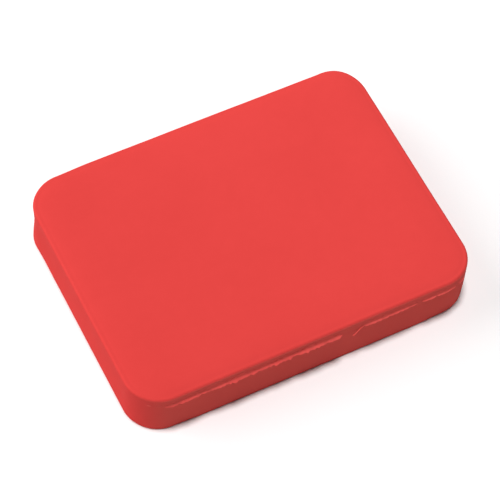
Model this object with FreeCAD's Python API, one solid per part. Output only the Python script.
"""A pressed bar of detailing clay, with the shreds of flash that its mould left on its sides.

Millimetres, +Z up. The origin is the middle of the flat underside. The bar's length runs along X,
its width along Y, and its front is the long side at -Y.
"""

import FreeCAD, Part

import math
import os

# ---- the bar ----
bar_length = 80.0
bar_width = 60.0
bar_height = 13.0
corner_radius = 8.0         # of the bar's outline, seen from above
top_edge_radius = 0.8
bottom_edge_radius = 0.4
slope_width = 5.5           # the soft slope that runs round the top, inside its edge
slope_drop = 0.35           # how far the slope falls from the flat top to the edge

# ---- the flash ----
parting_depth = 3.0         # from the top of the bar down to the line where the mould halves met
flash_thickness = 0.25
flash_taper = 1.2           # the length over which an end grows to the full reach
flash_end_share = 0.35      # how far it stands out at its two ends, as a share of the reach
flash_raggedness = 0.3      # how much the torn edge varies, as a share of the reach
tooth_pitch = 0.8           # between two points of the torn edge
long_wave = 5.3             # the two lengths over which the torn edge rises and falls
short_wave = 2.1

# Each shred follows the wall between two places and stands out of it by its reach. A place is a
# distance along the outline at the mould line, from where the front left corner meets the front,
# towards the front right corner and on round the bar. The crumbs lie before the start, on the
# front left corner itself.
flash_runs = {
    # name: (first place, last place, reach)
    "flash_crumb_outer": (-6.0, -5.0, 0.25),
    "flash_crumb_inner": (-3.8, -2.9, 0.25),
    "flash_front_long": (-2.2, 38.8, 0.55),
    "flash_front_middle": (44.0, 56.8, 0.36),
    "flash_front_end": (57.9, 66.4, 0.25),
    "flash_right_corner": (67.0, 69.4, 0.22),
    "flash_right_end": (86.0, 104.0, 0.4),
    "flash_back_right": (133.0, 156.0, 0.5),
    "flash_back_left": (168.0, 189.0, 0.45),
}

# The loose thread starts where flash_front_middle starts, and runs back towards flash_front_long.
thread_length = 2.9
thread_lean = 0.5           # how far its free end has swung out from the wall
thread_droop = 1.05         # how far its free end has sunk
thread_width = 0.3
thread_sections = 7

full_turn = 2 * math.pi
quarter_turn = math.pi / 2


def vector(x, y, z=0.0):
    return FreeCAD.Vector(x, y, z)


def outline_pieces(inset=0.0):
    """The bar's outline as (kind, length, data), from the front left corner's end and round."""
    half_length = bar_length / 2
    half_width = bar_width / 2
    radius = corner_radius - inset
    straight_x = bar_length - 2 * corner_radius
    straight_y = bar_width - 2 * corner_radius
    corner_x = half_length - corner_radius
    corner_y = half_width - corner_radius
    reach_x = half_length - inset
    reach_y = half_width - inset
    corner = radius * quarter_turn
    return [
        ("line", straight_x, ((-corner_x, -reach_y), (1, 0))),
        ("arc", corner, ((corner_x, -corner_y), -quarter_turn, radius)),
        ("line", straight_y, ((reach_x, -corner_y), (0, 1))),
        ("arc", corner, ((corner_x, corner_y), 0.0, radius)),
        ("line", straight_x, ((corner_x, reach_y), (-1, 0))),
        ("arc", corner, ((-corner_x, corner_y), quarter_turn, radius)),
        ("line", straight_y, ((-reach_x, corner_y), (0, -1))),
        ("arc", corner, ((-corner_x, -corner_y), math.pi, radius)),
    ]


def point_on(piece, distance, out=0.0):
    """The point at a distance along one piece of the outline, and a distance out of the wall."""
    kind, _, data = piece
    if kind == "line":
        (x, y), (dx, dy) = data
        return vector(x + distance * dx + out * dy, y + distance * dy - out * dx)
    (cx, cy), start_angle, radius = data
    angle = start_angle + distance / radius
    return vector(cx + (radius + out) * math.cos(angle), cy + (radius + out) * math.sin(angle))


def edge_on(piece, start, end):
    """The edge of the wall between two distances along one piece of the outline."""
    first = point_on(piece, start)
    last = point_on(piece, end)
    if piece[0] == "line":
        return Part.LineSegment(first, last).toShape()
    return Part.Arc(first, point_on(piece, (start + end) / 2), last).toShape()


def bar_wire(inset, height):
    """The closed outline, moved in by an inset, at a height."""
    edges = [edge_on(piece, 0.0, piece[1]) for piece in outline_pieces(inset)]
    wire = Part.Wire(edges)
    wire.translate(vector(0, 0, height))
    return wire


def edges_at(shape, height):
    """The edges of a shape that lie flat at a height."""
    return [edge for edge in shape.Edges
            if all(abs(vertex.Z - height) < 1e-6 for vertex in edge.Vertexes)]


def make_clay_block():
    """The bar: straight sides, a soft slope round the top, and rounded edges."""
    shoulder = bar_height - slope_drop
    sides = Part.Face(bar_wire(0.0, 0.0)).extrude(vector(0, 0, shoulder))
    top = Part.makeLoft([bar_wire(0.0, shoulder), bar_wire(slope_width, bar_height)], True, True)
    block = sides.fuse(top).removeSplitter()
    block = block.makeFillet(top_edge_radius, edges_at(block, shoulder))
    return block.makeFillet(bottom_edge_radius, edges_at(block, 0.0))


def pieces_between(start, end):
    """The stretches of the outline between two places, as (piece, its start, its end, place)."""
    pieces = outline_pieces()
    piece_start = -sum(length for _, length, _ in pieces)
    found = []
    for piece in pieces * 2:
        first = max(start, piece_start)
        last = min(end, piece_start + piece[1])
        if last - first > 1e-6:
            found.append((piece, first - piece_start, last - piece_start, first))
        piece_start += piece[1]
    return found


def torn_reach(place, start, end, reach):
    """How far a shred stands out of the wall: little at its ends, uneven between them."""
    from_end = min(place - start, end - place)
    grown = min(1.0, from_end / min(flash_taper, (end - start) / 2))
    waves = math.sin(full_turn * place / long_wave) + math.sin(full_turn * place / short_wave)
    uneven = 1 + flash_raggedness * waves / 2
    return reach * (flash_end_share + (uneven - flash_end_share) * grown)


def make_flash(start, end, reach):
    """One shred of flash: flat, held by the wall all along, with a torn outer edge."""
    stretches = pieces_between(start, end)
    wall = [edge_on(piece, first, last) for piece, first, last, _ in stretches]
    torn = []
    for piece, first, last, place in stretches:
        steps = max(1, round((last - first) / tooth_pitch))
        for step in range(steps + 1):
            along = (last - first) * step / steps
            out = torn_reach(place + along, start, end, reach)
            point = point_on(piece, first + along, out)
            if not torn or point.distanceToPoint(torn[-1]) > 1e-6:
                torn.append(point)
    wall_start = point_on(stretches[0][0], stretches[0][1])
    wall_end = point_on(stretches[-1][0], stretches[-1][2])
    path = [wall_end] + torn[::-1] + [wall_start]
    edges = wall + [Part.LineSegment(one, two).toShape() for one, two in zip(path, path[1:])]
    shred = Part.Face(Part.Wire(edges)).extrude(vector(0, 0, flash_thickness))
    shred.translate(vector(0, 0, bar_height - parting_depth - flash_thickness / 2))
    return shred


def make_torn_thread():
    """The thread that has come off the wall: it leans out and sinks towards its free end."""
    root, _, root_reach = flash_runs["flash_front_middle"]
    bottom = bar_height - parting_depth - flash_thickness / 2
    front = outline_pieces()[0]
    wires = []
    for section in range(thread_sections):
        share = section / (thread_sections - 1)
        ease = share * share * (3 - 2 * share)
        near = thread_lean * ease
        width = thread_width * share + flash_end_share * root_reach * (1 - share)
        low = bottom - thread_droop * ease
        place = root - thread_length * share
        ring = [point_on(front, place, near), point_on(front, place, near + width)]
        corners = [ring[0], ring[1], ring[1] + vector(0, 0, flash_thickness),
                   ring[0] + vector(0, 0, flash_thickness)]
        corners = [corner + vector(0, 0, low) for corner in corners]
        wires.append(Part.makePolygon(corners + corners[:1]))
    return Part.makeLoft(wires, True, True)


def write(node, shape):
    """Writes one node's solid to its own file."""
    solid = shape.Solids[0]
    print(f"{node}: {solid.Volume:.3f} mm3, valid {solid.isValid()}, solids {len(shape.Solids)}")
    solid.exportStep(f"parts/{node}.step")


os.makedirs("parts", exist_ok=True)
write("clay_block", make_clay_block())
for name, run in flash_runs.items():
    write(name, make_flash(*run))
write("flash_torn_thread", make_torn_thread())
